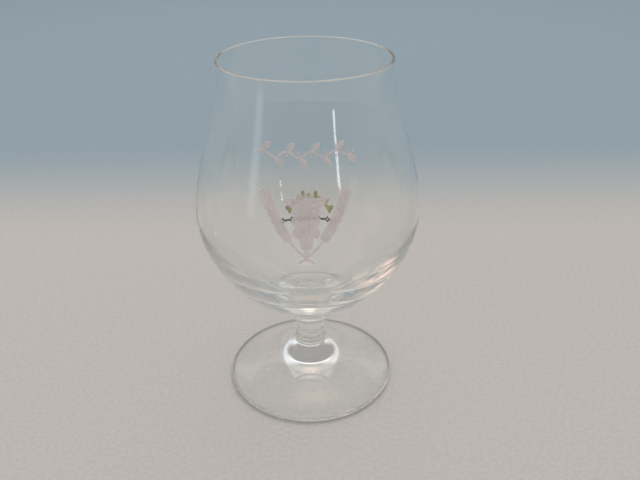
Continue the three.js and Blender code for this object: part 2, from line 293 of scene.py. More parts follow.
def stem_profile(foot, stem):
    """Quarter-round base of the knop, ogee to the waist and spread to the root of the bowl."""
    low = foot.height + WELD_GAP
    high = STEM_TOP.z - WELD_GAP
    knop = at(stem.base + stem.knop_swell, foot.height + stem.knop_height)
    waist = at(stem.waist, knop.y + stem.waist_rise)
    ogee = (knop.y + waist.y) / 2
    handle = (high - waist.y) / 2
    base = at(stem.base, low)
    top = at(stem.top, high)
    return chain(
        [at(0, low), base],
        bezier([base, at(knop.x, low), knop], SHORT_CURVE),
        bezier([knop, at(knop.x, ogee), at(waist.x, ogee), waist], SHORT_CURVE),
        bezier(
            [waist, at(waist.x, waist.y + handle), top - handle * at(STEM_TOP_LEAN, 1), top],
            SHORT_CURVE),
        [top, at(0, high)])


def belly_line(stem, bowl):
    """Outside of the belly, from the root to the widest ring."""
    joint = at(stem.top + bowl.root_spread, STEM_TOP.z + bowl.root_height)
    ring = at(bowl.belly, joint.y + bowl.belly_depth)
    across = (ring.x - joint.x) * BELLY_FULL_ROOT
    pull = joint + across * at(1, math.tan(BELLY_LEAN))
    return bezier([joint, pull, ring - at(0, bowl.belly_depth * BELLY_FULL_RING), ring], LONG_CURVE)


def neck_line(bowl, ring_height, ring_wall, rim_wall):
    """Neck from the widest ring to the rounding of the rim, with the wall taken off at each end."""
    ring = at(bowl.belly - ring_wall, ring_height)
    rim = at(bowl.rim - rim_wall, BOWL_TOP.z - bowl.rim_wall / 2)
    height = BOWL_TOP.z - ring_height
    return bezier(
        [ring, ring + at(0, height * NECK_FULL_RING), rim - at(0, height * NECK_FULL_RIM), rim],
        LONG_CURVE)


def root_line(stem, bowl):
    """Root of the bowl: leans on from the side of the stem and runs smoothly into the belly."""
    weld = at(stem.top, STEM_TOP.z + WELD_GAP)
    slope = math.tan(BELLY_LEAN)
    height = (bowl.root_height - slope * bowl.root_spread) / (1 - slope * STEM_TOP_LEAN)
    pull = weld + height * at(STEM_TOP_LEAN, 1)
    return bezier([weld, pull, weld + at(bowl.root_spread, bowl.root_height)], SHORT_CURVE)


def floor_rise(radius):
    """Drawn rings of the thick floor and the pip in its middle."""
    pip = -PIP_DEPTH * math.exp(-(radius / PIP_RADIUS) ** 2)
    if not FLOOR_RINGS_FROM < radius < FLOOR_RINGS_TO:
        return pip
    place = (radius - FLOOR_RINGS_FROM) / (FLOOR_RINGS_TO - FLOOR_RINGS_FROM)
    depth = FLOOR_RING_DEPTH * math.sin(math.pi * place)
    return pip + depth * math.sin(math.tau * radius / FLOOR_RING_PITCH)


def inside_line(bowl, ring_height):
    """Inside of the belly, from the middle of the thick floor to the widest ring."""
    low = STEM_TOP.z + bowl.floor
    ring = at(bowl.belly - bowl.belly_wall, ring_height)
    smooth = bezier(
        [
            at(0, low),
            at(ring.x * INSIDE_FULL_FLOOR, low),
            ring - at(0, (ring.y - low) * INSIDE_FULL_RING),
            ring,
        ],
        2 * LONG_CURVE)
    return [point + at(0, floor_rise(point.x)) for point in smooth]


def outside_line(stem, bowl):
    """Outside of the bowl over the root: belly and neck."""
    belly = belly_line(stem, bowl)
    return chain(belly, neck_line(bowl, belly[-1].y, 0, 0))


def bowl_profile(stem, bowl):
    """Root, belly, neck, rim, and the inside down to the floor; and the number of outer points."""
    outside = outside_line(stem, bowl)
    ring_height = STEM_TOP.z + bowl.root_height + bowl.belly_depth
    inside = chain(
        inside_line(bowl, ring_height),
        neck_line(bowl, ring_height, bowl.belly_wall, bowl.rim_wall))
    rim_centre = at(bowl.rim - bowl.rim_wall / 2, BOWL_TOP.z - bowl.rim_wall / 2)
    root = root_line(stem, bowl)
    outer = chain(
        [at(0, root[0].y), root[0]],
        root,
        outside,
        arc(rim_centre, bowl.rim_wall / 2, 0, math.pi, SHORT_CURVE))
    return outer + inside[::-1][1:], len(outer)


# Meshes.


def mesh_piece(name, points, faces, material):
    """Object of a mesh with smooth faces and sharp edges."""
    mesh = bpy.data.meshes.new(name)
    mesh.from_pydata(points, [], faces)
    mesh.materials.append(material)
    mesh.shade_smooth()
    mesh.set_sharp_from_angle(angle=SHARP_ANGLE)
    mesh.validate()
    piece = bpy.data.objects.new(name, mesh)
    bpy.context.scene.collection.objects.link(piece)
    return piece


def revolve(name, profile, waves, welds, material):
    """Closed body of revolution, with slow waves of a given depth at each point of the profile.

    The spans in welds are marked as fused to the next piece.
    """
    points = []
    rings = []
    for point, wave in zip(profile, waves):
        if point.x < ON_AXIS:
            rings.append([len(points)] * AROUND)
            points.append((0, 0, point.y))
            continue
        rings.append(list(range(len(points), len(points) + AROUND)))
        for step in range(AROUND):
            angle = math.tau * step / AROUND
            cross = math.sin(CROSS_WAVES_AROUND * angle + point.y * CROSS_WAVES_TWIST)
            swing = math.sin(WAVES_AROUND * angle + WAVES_START) + CROSS_WAVE * cross
            radius = point.x + wave * swing
            points.append((radius * math.cos(angle), radius * math.sin(angle), point.y))
    faces = []
    fused = []
    for span, (lower, upper) in enumerate(zip(rings, rings[1:])):
        for step in range(AROUND):
            after = (step + 1) % AROUND
            corners = (lower[step], lower[after], upper[after], upper[step])
            faces.append(tuple(dict.fromkeys(corners)))
            fused.append(1.0 if span in welds else 0.0)
    piece = mesh_piece(name, points, faces, material)
    piece.data.attributes.new(WELD, "FLOAT", "FACE").data.foreach_set("value", fused)
    return piece


def split_fans(triangles):
    """Triangles of (point, copy), where each fan round a shared point has its own copy of it.

    So ink that only touches at a point stays apart.
    """
    around = {}
    for number, triangle in enumerate(triangles):
        for corner in triangle:
            around.setdefault(corner, []).append(number)
    copies = {}
    for corner, numbers in around.items():
        left = set(numbers)
        copy = 0
        while left:
            fan = [left.pop()]
            for number in fan:
                copies[number, corner] = copy
                near = [n for n in left if len(set(triangles[n]) & set(triangles[number])) == 2]
                fan += near
                left -= set(near)
            copy += 1
    return [
        tuple((corner, copies[number, corner]) for corner in triangle)
        for number, triangle in enumerate(triangles)
    ]


def ink_triangles(art):
    """Flat points and triangles of the ink. In the art, the later areas lie over the earlier."""
    points = []
    outlines = []
    for outline, _ in art:
        outlines.append(list(range(len(points), len(points) + len(outline))))
        points += [point / MM for point in outline]
    low = [min(point[axis] for point in points) for axis in (0, 1)]
    high = [max(point[axis] for point in points) for axis in (0, 1)]
    pitch = GRID / MM
    columns = math.ceil((high[0] - low[0]) / pitch)
    rows = math.ceil((high[1] - low[1]) / pitch)
    points += [
        at(low[0] + pitch * column, low[1] + pitch * row)
        for column in range(columns)
        for row in range(rows)
    ]
    flat, _, triangles, _, _, owners = delaunay_2d_cdt(
        points, [], outlines, CUT_INSIDE, CUT_MERGE)
    inked = [triangle for triangle, owner in zip(triangles, owners) if owner and art[max(owner)][1]]
    return [point * MM for point in flat], inked


def wrap_print(name, art, height, side, settings, material):
    """Even layer of enamel round the bowl, on its front (side 1) or its back (side -1).

    The origin of the flat art lies at the given height.
    """
    flat, inked = ink_triangles(art)
    split = split_fans(inked)
    keys = {corner: None for triangle in split for corner in triangle}
    order = {corner: index for index, corner in enumerate(keys)}
    outside = outside_line(settings.stem, settings.bowl)
    points = []
    for layer in (settings.prints.clearance, settings.prints.clearance + settings.prints.thickness):
        skin = offset(outside, layer)
        heights = [point.y for point in skin]
        radii = [point.x for point in skin]
        for corner, _ in order:
            up = height + flat[corner].y
            across = flat[corner].x
            deep = math.sqrt(float(np.interp(up, heights, radii)) ** 2 - across ** 2)
            points.append((side * across, -side * deep, up))
    count = len(order)
    faces = []
    rims = {}
    for triangle in split:
        a, b, c = (order[corner] for corner in triangle)
        faces.append((a + count, b + count, c + count))
        faces.append((c, b, a))
        for first, second in ((a, b), (b, c), (c, a)):
            if rims.pop((second, first), None) is None:
                rims[first, second] = True
    for first, second in rims:
        faces.append((first, second, second + count, first + count))
    return mesh_piece(name, points, faces, material)


# Flat art of the prints.


def leaf(length, width):
    """Leaf with a point at each end, from its stalk at the origin along +Y."""
    right = bezier([at(0, 0), at(width, length / 2), at(0, length)], LEAF_STEPS)
    left = bezier([at(0, length), at(-width, length / 2), at(0, 0)], LEAF_STEPS)
    return right + left[1:-1]


def lozenge(length, width):
    """Lozenge round the origin."""
    return [at(0, -length / 2), at(width / 2, 0), at(0, length / 2), at(-width / 2, 0)]


def disc(radius):
    """Disc round the origin."""
    return arc(at(0, 0), radius, 0, math.tau, DISC_STEPS)[:-1]


def band(line, width):
    """Band of even width along a line."""
    return offset(line, width / 2) + offset(line, -width / 2)[::-1]


def put(outline, place, turn=0, slide=0):
    """Outline slid along its own axis, turned about the origin and moved to its place."""
    spin = Matrix.Rotation(turn, 2)
    return [place + spin @ (point + at(0, slide)) for point in outline]


def scaled(size, factor):
    """Length and width times a factor."""
    return [factor * part for part in size]


# Bare veins of a leaf, as shares of its length and of its width.
MIDRIB_LENGTH = 0.8
MIDRIB_WIDTH = 0.07
MIDRIB_START = 0.1
VEIN_STARTS = (0.3, 0.45, 0.6)
VEIN_LENGTH = 0.3
VEIN_LENGTH_ENDS = 1.15
VEIN_WIDTH = 0.045
VEIN_TURN = 0.75


def veined_leaf(length, width, place, turn):
    """Leaf with a bare midrib and bare side veins."""
    midrib = leaf(MIDRIB_LENGTH * length, MIDRIB_WIDTH * width)
    art = [
        (put(leaf(length, width), place, turn), True),
        (put(midrib, place, turn, MIDRIB_START * length), False),
    ]
    for step in VEIN_STARTS:
        start = place + Matrix.Rotation(turn, 2) @ at(0, step * length)
        vein = leaf(VEIN_LENGTH * length * (VEIN_LENGTH_ENDS - step), VEIN_WIDTH * width)
        for side in (-1, 1):
            art.append((put(vein, start, turn + VEIN_TURN * side), False))
    return art


def haloed_leaf(length, width, place, turn, halo):
    """Leaf with a bare line round it."""
    clear = leaf(length + 2 * halo, width + 2 * halo)
    return [(put(clear, place, turn, -halo), False), (put(leaf(length, width), place, turn), True)]


# Vine of the border.
VINE_WAVES = 4
VINE_SWING = 1 * MM
VINE_WIDTH = 0.7 * MM
VINE_STEPS = 96
VINE_LEAF = (4.2 * MM, 2.2 * MM)
VINE_LEAF_TURN = 0.8
BERRY_RADIUS = 0.42 * MM
BERRY_SWINGS = 1.5


def border_art(prints):
    """Waving vine with a leaf on each crest and a berry across from it."""

    def vine(step):
        """Point of the vine at a share of its length."""
        up = VINE_SWING * math.sin(math.tau * VINE_WAVES * step)
        return at((step - 0.5) * prints.border_length, up)

    art = [(band([vine(step / VINE_STEPS) for step in range(VINE_STEPS + 1)], VINE_WIDTH), True)]
    for crest in range(2 * VINE_WAVES):
        place = vine((crest + 0.5) / (2 * VINE_WAVES))
        up = 1 if crest % 2 == 0 else -1
        turn = -VINE_LEAF_TURN if up > 0 else math.pi + VINE_LEAF_TURN
        art += veined_leaf(*VINE_LEAF, place, turn)
        berry = place - at(0, BERRY_SWINGS * up * VINE_SWING)
        art.append((put(disc(BERRY_RADIUS), berry), True))
    return art


# Hop cone, its leaves, and the ears of barley with their tie.
HOP_TOP = 5 * MM
HOP_ROWS = 6
HOP_PITCH = 2.1 * MM
HOP_SPREAD = 3 * MM
HOP_TAPER = 0.8 * math.pi
BRACT = (4.8 * MM, 3.4 * MM)
BRACT_PLACES = ((-1, 1, 0), (-0.5, 0.5))
BRACT_FAN = 0.3
BRACT_HALO = 0.12 * MM
BRACT_VEIN = (0.5 * BRACT[0], 0.12 * MM)
BRACT_VEIN_START = 0.3 * BRACT[0]
HOP_STALK_WIDTH = 0.9 * MM
HOP_STALK_BELOW = 2 * MM
HOP_STALK_ABOVE = 5.5 * MM
HOP_LEAF = (8.5 * MM, 3.6 * MM)
HOP_LEAF_TURN = 1.2
HOP_LOBES = ((-0.7, 0.7), (0.7, 0.7), (0, 1))
EAR_LINE = ((-3 * MM, -15.5 * MM), (7.5 * MM, -9 * MM), (14 * MM, 9 * MM))
EAR_STALK_WIDTH = 0.8 * MM
EAR_GRAINS = 8
EAR_FIRST = 0.45
EAR_LAST = 0.95
EAR_STEPS = 40
GRAIN = (4 * MM, 1.9 * MM)
GRAIN_TURN = 0.42
GRAIN_HALO = 0.1 * MM
AWN = (5 * MM, 0.16 * MM)
AWN_START = 0.85 * GRAIN[0]
AWN_LEAN = 0.8
TIE = (5.4 * MM, 3 * MM)
TIE_HEIGHT = -12.2 * MM
TIE_HALO = 0.5 * MM
TIE_GAP = 0.45
TIE_HEART = 0.25


def hop_art():
    """Hop cone: rows of three and two bracts in turn, from the tip up, each over the row below."""
    art = []
    for row in range(HOP_ROWS):
        up = HOP_TOP - (HOP_ROWS - 1 - row) * HOP_PITCH
        spread = HOP_SPREAD * math.sin(HOP_TAPER * row / (HOP_ROWS - 1))
        for place in BRACT_PLACES[row % 2]:
            seat = at(place * spread, up)
            turn = math.pi + place * BRACT_FAN
            art += haloed_leaf(*BRACT, seat, turn, BRACT_HALO)
            art.append((put(leaf(*BRACT_VEIN), seat, turn, BRACT_VEIN_START), False))
    return art


def hop_leaf_art():
    """Stalk of the hop with a three-lobed leaf on each side."""
    stalk = [at(0, HOP_TOP - HOP_STALK_BELOW), at(0, HOP_TOP + HOP_STALK_ABOVE)]
    art = []
    for side in (-1, 1):
        for turn, part in HOP_LOBES:
            lobe = scaled(HOP_LEAF, part)
            art += veined_leaf(*lobe, at(0, HOP_TOP), side * (HOP_LEAF_TURN + turn))
    return art + [(band(stalk, HOP_STALK_WIDTH), True)]


def ear_art(side):
    """Ear of barley: a bent stalk with pairs of grains and one at its tip, each with its awn."""
    stalk = bezier([at(side * across, up) for across, up in EAR_LINE], EAR_STEPS)
    art = [(band(stalk, EAR_STALK_WIDTH), True)]
    for index in range(EAR_GRAINS):
        step = EAR_STEPS * (EAR_FIRST + (EAR_LAST - EAR_FIRST) * index / (EAR_GRAINS - 1))
        before = int(step)
        place = stalk[before].lerp(stalk[before + 1], step - before)
        along = stalk[before + 1] - stalk[before]
        lean = math.atan2(along.y, along.x) - math.pi / 2
        turns = [-GRAIN_TURN, GRAIN_TURN]
        if index == EAR_GRAINS - 1:
            turns.append(0)
        for turn in turns:
            art.append((put(leaf(*AWN), place, lean + AWN_LEAN * turn, AWN_START), True))
            art += haloed_leaf(*GRAIN, place, lean + turn, GRAIN_HALO)
    return art


def motif_art():
    """Hop cone with its leaves over two crossed ears of barley that a tie holds."""
    tie = at(0, TIE_HEIGHT)
    return [
        *ear_art(-1),
        *ear_art(1),
        *hop_leaf_art(),
        *hop_art(),
        (put(lozenge(TIE[0] + TIE_HALO, TIE[1] + TIE_HALO), tie), False),
        (put(lozenge(*TIE), tie), True),
        (put(lozenge(*scaled(TIE, TIE_GAP)), tie), False),
        (put(lozenge(*scaled(TIE, TIE_HEART)), tie), True),
    ]


# Gold arch. Beads and leaves stand at angles from its top; a bead is inked, bare and inked again.
ARCH_WIDTH = 1.4 * MM
ARCH_HALF_SPAN = 1.2
ARCH_STEPS = 48
ARCH_LINE_WIDTH = 0.12 * ARCH_WIDTH
ARCH_LINE_INSET = 2
ARCH_BEAD = 1.25 * MM
ARCH_BEADS = (-0.5, 0, 0.5)
ARCH_BEAD_RINGS = ((1, True), (0.72, False), (0.58, True))
ARCH_LEAF = (3 * MM, 2 * MM)
ARCH_LEAVES = (-1.05, -0.75, -0.25, 0.25, 0.75, 1.05)


def arch_art(prints):
    """Arch with a bare line along it, beads and leaves on its outside."""
    start = math.pi / 2 - ARCH_HALF_SPAN
    line = arc(at(0, 0), prints.arch_radius, start, start + 2 * ARCH_HALF_SPAN, ARCH_STEPS)
    bare = line[ARCH_LINE_INSET:-ARCH_LINE_INSET]
    art = [(band(line, ARCH_WIDTH), True), (band(bare, ARCH_LINE_WIDTH), False)]

    def spot(angle):
        """Point on the arch at an angle from its top."""
        return prints.arch_radius * at(-math.sin(angle), math.cos(angle))

    for angle in ARCH_LEAVES:
        art += veined_leaf(*ARCH_LEAF, spot(angle), angle)
    for angle in ARCH_BEADS:
        for part, inked in ARCH_BEAD_RINGS:
            art.append((put(disc(part * ARCH_BEAD), spot(angle)), inked))
    return art


# Black rule.
RULE_WIDTH = 0.8 * MM
RULE_STEPS = 28
RULE_LOZENGES = 7
RULE_LOZENGE = (2.8 * MM, 2.2 * MM)
RULE_LOZENGE_EYE = 0.4


def rule_art(prints):
    """Thin rule with lozenges along it that have a bare eye."""
    half = prints.rule_length / 2
    line = [at(half * (2 * step / RULE_STEPS - 1), 0) for step in range(RULE_STEPS + 1)]
    art = [(band(line, RULE_WIDTH), True)]
    for index in range(RULE_LOZENGES):
        place = at((index / (RULE_LOZENGES - 1) - 0.5) * (prints.rule_length - RULE_LOZENGE[1]), 0)
        art.append((put(lozenge(*RULE_LOZENGE), place), True))
        art.append((put(lozenge(*scaled(RULE_LOZENGE, RULE_LOZENGE_EYE)), place), False))
    return art


# Finishes.


def node(tree, kind, inputs=None, **settings):
    """New node with its settings, and its inputs set to values or linked to sockets."""
    made = tree.nodes.new(kind)
    for name, value in settings.items():
        setattr(made, name, value)
    for name, value in (inputs or {}).items():
        if isinstance(value, bpy.types.NodeSocket):
            tree.links.new(value, made.inputs[name])
        else:
            made.inputs[name].default_value = value
    return made


def new_tree(owner):
    """Empty node tree of a material, of a lamp or of the world."""
    owner.use_nodes = True
    owner.node_tree.nodes.clear()
    return owner.node_tree


def solid(rgb):
    """Colour with full alpha."""
    return (*rgb, 1)


def noise(tree, place, scale, detail=2.0):
    """Noise over a place, as a factor."""
    made = node(tree, "ShaderNodeTexNoise", {"Vector": place, "Scale": scale, "Detail": detail})
    return made.outputs["Fac"]


def ranged(tree, value, low, high, to_low, to_high):
    """Value taken smoothly from one range to another."""
    made = node(
        tree,
        "ShaderNodeMapRange",
        {"Value": value, "From Min": low, "From Max": high, "To Min": to_low, "To Max": to_high},
        interpolation_type="SMOOTHSTEP")
    return made.outputs["Result"]


# Sockets of a mix of two colours.
MIX_FACTOR = 0
MIX_FIRST = 6
MIX_SECOND = 7
MIX_RESULT = 2


def mixed(tree, factor, first, second, blend="MIX"):
    """Mix of two colours."""
    ends = [end if isinstance(end, bpy.types.NodeSocket) else solid(end) for end in (first, second)]
    inputs = {MIX_FACTOR: factor, MIX_FIRST: ends[0], MIX_SECOND: ends[1]}
    made = node(tree, "ShaderNodeMix", inputs, data_type="RGBA", blend_type=blend)
    return made.outputs[MIX_RESULT]


def blended(tree, factor, first, second):
    """Mix of two shaders."""
    inputs = {0: factor, 1: first.outputs[0], 2: second.outputs[0]}
    return node(tree, "ShaderNodeMixShader", inputs)


# Clear glass. The veil is what it lets through of the lamps: straight on and at a glancing angle.
GLASS_INDEX = 1.5
GLASS_DENSITY = 3
SMEAR_SCALE = 55
SMEAR_DETAIL = 4
SMEAR_SHOWS = (0.52, 0.75)
SMEAR_ROUGHNESS = 0.04
PEEL_SCALE = 140
PEEL_STRENGTH = 0.05
PEEL_DEPTH = 0.05 * MM
VEIL_BLEND = 0.1
VEIL_STRAIGHT = (0.995, 0.995, 0.995)
VEIL_GLANCING = (0.82, 0.83, 0.83)
EDGE_SHADE = (0.6, 0.61, 0.62)
EDGE_SHADE_FADES = (2.8 * MM, 3.6 * MM)
EDGE_SHADE_WIDTH = 2 * MM


def glass_veil(tree, place):
    """Share of the lamps' light that comes through: less at a glance and at the foot's edge."""
    facing = node(tree, "ShaderNodeLayerWeight", {"Blend": VEIL_BLEND}).outputs["Facing"]
    wall = mixed(tree, facing, VEIL_STRAIGHT, VEIL_GLANCING)
    height = node(tree, "ShaderNodeSeparateXYZ", {"Vector": place}).outputs["Z"]
    low = ranged(tree, height, *EDGE_SHADE_FADES, 1, 0)
    level = node(tree, "ShaderNodeVectorMath", {0: place, 1: (1, 1, 0)}, operation="MULTIPLY")
    reach = node(tree, "ShaderNodeVectorMath", {0: level.outputs[0]}, operation="LENGTH")
    first = FOOT_TOP.x - EDGE_SHADE_WIDTH
    full = FOOT_TOP.x - 0.5 * EDGE_SHADE_WIDTH
    outer = ranged(tree, reach.outputs["Value"], first, full, 0, 1)
    edge = node(tree, "ShaderNodeMath", {0: low, 1: outer}, operation="MULTIPLY").outputs[0]
    return mixed(tree, edge, wall, EDGE_SHADE)


def clear_glass(finishes):
    """Fire-polished glass: faint orange peel and smears, and a tint where it is thick.

    Lamps shine through it, and it has no surface where two pieces are fused.
    """
    material = bpy.data.materials.get("clear_glass")
    if material:
        return material
    material = bpy.data.materials.new("clear_glass")
    tree = new_tree(material)
    place = node(tree, "ShaderNodeTexCoord").outputs["Object"]
    smear = noise(tree, place, SMEAR_SCALE, SMEAR_DETAIL)
    peel = node(
        tree,
        "ShaderNodeBump",
        {
            "Height": noise(tree, place, PEEL_SCALE),
            "Strength": PEEL_STRENGTH,
            "Distance": PEEL_DEPTH,
        })
    body = node(
        tree,
        "ShaderNodeBsdfPrincipled",
        {
            "Base Color": solid(finishes.glass),
            "Roughness": ranged(tree, smear, *SMEAR_SHOWS, 0, SMEAR_ROUGHNESS),
            "IOR": GLASS_INDEX,
            "Transmission Weight": 1,
            "Normal": peel.outputs["Normal"],
        })
    through = node(tree, "ShaderNodeBsdfTransparent", {"Color": glass_veil(tree, place)})
    path = node(tree, "ShaderNodeLightPath")
    lamp = node(
        tree,
        "ShaderNodeMath",
        {0: path.outputs["Is Shadow Ray"], 1: path.outputs["Is Diffuse Ray"]},
        operation="MAXIMUM")
    lit = blended(tree, lamp.outputs[0], body, through)
    fused = node(tree, "ShaderNodeBsdfTransparent")
    weld = node(tree, "ShaderNodeAttribute", attribute_name=WELD)
    surface = blended(tree, weld.outputs["Fac"], lit, fused)
    tint = node(
        tree,
        "ShaderNodeVolumeAbsorption",
        {"Color": solid(finishes.depth), "Density": GLASS_DENSITY})
    node(
        tree,
        "ShaderNodeOutputMaterial",
        {"Surface": surface.outputs[0], "Volume": tint.outputs[0]})
    return material


# Enamels. Wear is how much lighter or darker the uneven places of an enamel are.
ENAMEL_INDEX = 1.5
ENAMEL_DETAIL = 3
CLOUD_SCALE = 260
CLOUD_SHOWS = (0.35, 0.7)
SPECKLE_SCALE = 3200
SPECKLE_SHOWS = (0.3, 0.7)
SPECKLE_SMOOTHER = 0.08
SPECKLE_ROUGHER = 0.1
SPECKLE_STRENGTH = 0.25
SPECKLE_DEPTH = 0.03 * MM
THIN_COVER = 0.85
THICK_COVER = 1.15
ENAMEL_GLOW = 0.5
WHITE_WEAR = 0.92
WHITE_ROUGHNESS = 0.55
GOLD_WEAR = 1.5
GOLD_ROUGHNESS = 0.38
GOLD_METAL = 0.35
BLACK_WEAR = 1.6
BLACK_ROUGHNESS = 0.45


def enamel(name, rgb, wear, roughness, metal=0, cover=1):
    """Fired enamel: uneven colour, fine speckle and a satin face.

    Where the cover is under one, light glows through it and thin places let the glass show.
    """
    material = bpy.data.materials.new(name)
    tree = new_tree(material)
    place = node(tree, "ShaderNodeTexCoord").outputs["Object"]
    speckle = noise(tree, place, SPECKLE_SCALE, ENAMEL_DETAIL)
    cloud = noise(tree, place, CLOUD_SCALE, ENAMEL_DETAIL)
    worn = [min(1, part * wear) for part in rgb]
    tone = mixed(tree, ranged(tree, cloud, *CLOUD_SHOWS, 0, 1), rgb, worn)
    smooth = roughness - SPECKLE_SMOOTHER
    rough = roughness + SPECKLE_ROUGHER
    bump = node(
        tree,
        "ShaderNodeBump",
        {"Height": speckle, "Strength": SPECKLE_STRENGTH, "Distance": SPECKLE_DEPTH})
    surface = node(
        tree,
        "ShaderNodeBsdfPrincipled",
        {
            "Base Color": tone,
            "Roughness": ranged(tree, speckle, *SPECKLE_SHOWS, smooth, rough),
            "Metallic": metal,
            "IOR": ENAMEL_INDEX,
            "Normal": bump.outputs["Normal"],
        })
    if cover < 1:
        glow = node(tree, "ShaderNodeBsdfTranslucent", {"Color": tone})
        ink = blended(tree, ENAMEL_GLOW, surface, glow)
        bare = node(tree, "ShaderNodeBsdfTransparent")
        shown = ranged(tree, speckle, *SPECKLE_SHOWS, THIN_COVER * cover, THICK_COVER * cover)
        surface = blended(tree, shown, bare, ink)
    node(tree, "ShaderNodeOutputMaterial", {"Surface": surface.outputs[0]})
    return material


# Operators.


def settle(piece, cad_node):
    """Sets a piece on the glass in place of its solid."""
    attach(piece, "root")
    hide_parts(cad_node)


class BEERGLASS_OT_foot(Operator):
    """Makes the pressed foot"""

    bl_idname = "beer_glass.foot"
    bl_label = "Foot"

    def execute(self, context):
        """Builds the foot from its profile."""
        settings = context.scene.beer_glass
        profile = foot_profile(settings.foot, settings.stem)
        waves = [FOOT_WAVE if point.y > settings.foot.edge else 0 for point in profile]
        waves[-2:] = [0, 0]  # The seat of the stem stays round.
        glass = clear_glass(settings.finishes)
        piece = revolve("foot_glass", profile, waves, {len(profile) - 2}, glass)
        settle(piece, "foot")
        return {"FINISHED"}


class BEERGLASS_OT_stem(Operator):
    """Makes the drawn stem with its knop"""

    bl_idname = "beer_glass.stem"
    bl_label = "Stem"

    def execute(self, context):
        """Builds the stem from its profile."""
        settings = context.scene.beer_glass
        profile = stem_profile(settings.foot, settings.stem)
        glass = clear_glass(settings.finishes)
        piece = revolve("stem_glass", profile, [0] * len(profile), {0, len(profile) - 2}, glass)
        settle(piece, "stem")
        return {"FINISHED"}


class BEERGLASS_OT_bowl(Operator):
    """Makes the blown tulip bowl"""

    bl_idname = "beer_glass.bowl"
    bl_label = "Bowl"

    def execute(self, context):
        """Builds the bowl from its profile."""
        settings = context.scene.beer_glass
        profile, outer = bowl_profile(settings.stem, settings.bowl)
        waves = []
        for index, point in enumerate(profile):
            depth = OUTSIDE_WAVE if index < outer else INSIDE_WAVE
            waves.append(depth * max(0, point.x / settings.bowl.belly - BOWL_WAVES_FROM))
        glass = clear_glass(settings.finishes)
        piece = revolve("bowl_glass", profile, waves, {0}, glass)
        settle(piece, "bowl")
        return {"FINISHED"}


class BEERGLASS_OT_front_prints(Operator):
    """Makes the white enamel prints on the front of the bowl"""

    bl_idname = "beer_glass.front_prints"
    bl_label = "Front prints"

    def execute(self, context):
        """Wraps the border and the motif round the front."""
        settings = context.scene.beer_glass
        prints = settings.prints
        finishes = settings.finishes
        white = enamel(
            "white_enamel", finishes.white, WHITE_WEAR, WHITE_ROUGHNESS, cover=finishes.white_cover)
        border = BOWL_TOP.z - prints.border_below_rim
        motif = border - prints.motif_below_border
        for name, art, height, cad_node in (
            ("vine_border_print", border_art(prints), border, "front_border_print"),
            ("hop_and_barley_print", motif_art(), motif, "front_motif_print"),
        ):
            settle(wrap_print(name, art, height, 1, settings, white), cad_node)
        return {"FINISHED"}


class BEERGLASS_OT_back_prints(Operator):
    """Makes the gold and black enamel prints on the back of the bowl"""

    bl_idname = "beer_glass.back_prints"
    bl_label = "Back prints"

    def execute(self, context):
        """Wraps the arch and the rule round the back."""
        settings = context.scene.beer_glass
        prints = settings.prints
        finishes = settings.finishes
        gold = enamel("gold_enamel", finishes.gold, GOLD_WEAR, GOLD_ROUGHNESS, metal=GOLD_METAL)
        black = enamel("black_enamel", finishes.black, BLACK_WEAR, BLACK_ROUGHNESS)
        ring = STEM_TOP.z + settings.bowl.root_height + settings.bowl.belly_depth
        arch = ring - prints.arch_below_ring
        rule = arch + prints.arch_radius * math.cos(ARCH_HALF_SPAN) - prints.rule_below_arch
        settle(
            wrap_print("gold_arch_print", arch_art(prints), arch, -1, settings, gold),
            "back_gold_print")
        settle(
            wrap_print("black_rule_print", rule_art(prints), rule, -1, settings, black),
            "back_black_print")
        return {"FINISHED"}


# Stage. The floor turns cooler and darker over these distances behind the glass, partly its own
# cool tone and partly painted shade of a fold where the fleece rises, and the light of the
# surroundings turns bright and dim over these shares of the way up and of the way back.
GLASS_BOUNCES = 300
FLOOR_HALF = 4.0
FLOOR_DROP = 0.1 * MM
FLOOR_ROUGHNESS = 0.95
FLOOR_GLOSS = 0.1
FLOOR_TURNS_COOL_AND_SHADED = (0.12, 0.30)
FLUFF_SCALE = 600
FLUFF_DETAIL = 4
FLUFF_SHOWS = (0.3, 0.7)
FLUFF_TONE = (0.955, 1.045)
SKY_TURNS_BRIGHT = (0.45, 0.98)
SKY_TURNS_DIM = (-0.9, -0.4)
CAMERA_PLACE = (0.00484, -0.26004, 0.21312)
CAMERA_PITCH = math.radians(28.95)
CAMERA_ROLL = math.radians(-0.67)
CAMERA_LENS = 38.97
CAMERA_SENSOR = 36.0
CAMERA_NEAR = 0.01
LAMP_TARGET = Vector((0, 0, 0.08))
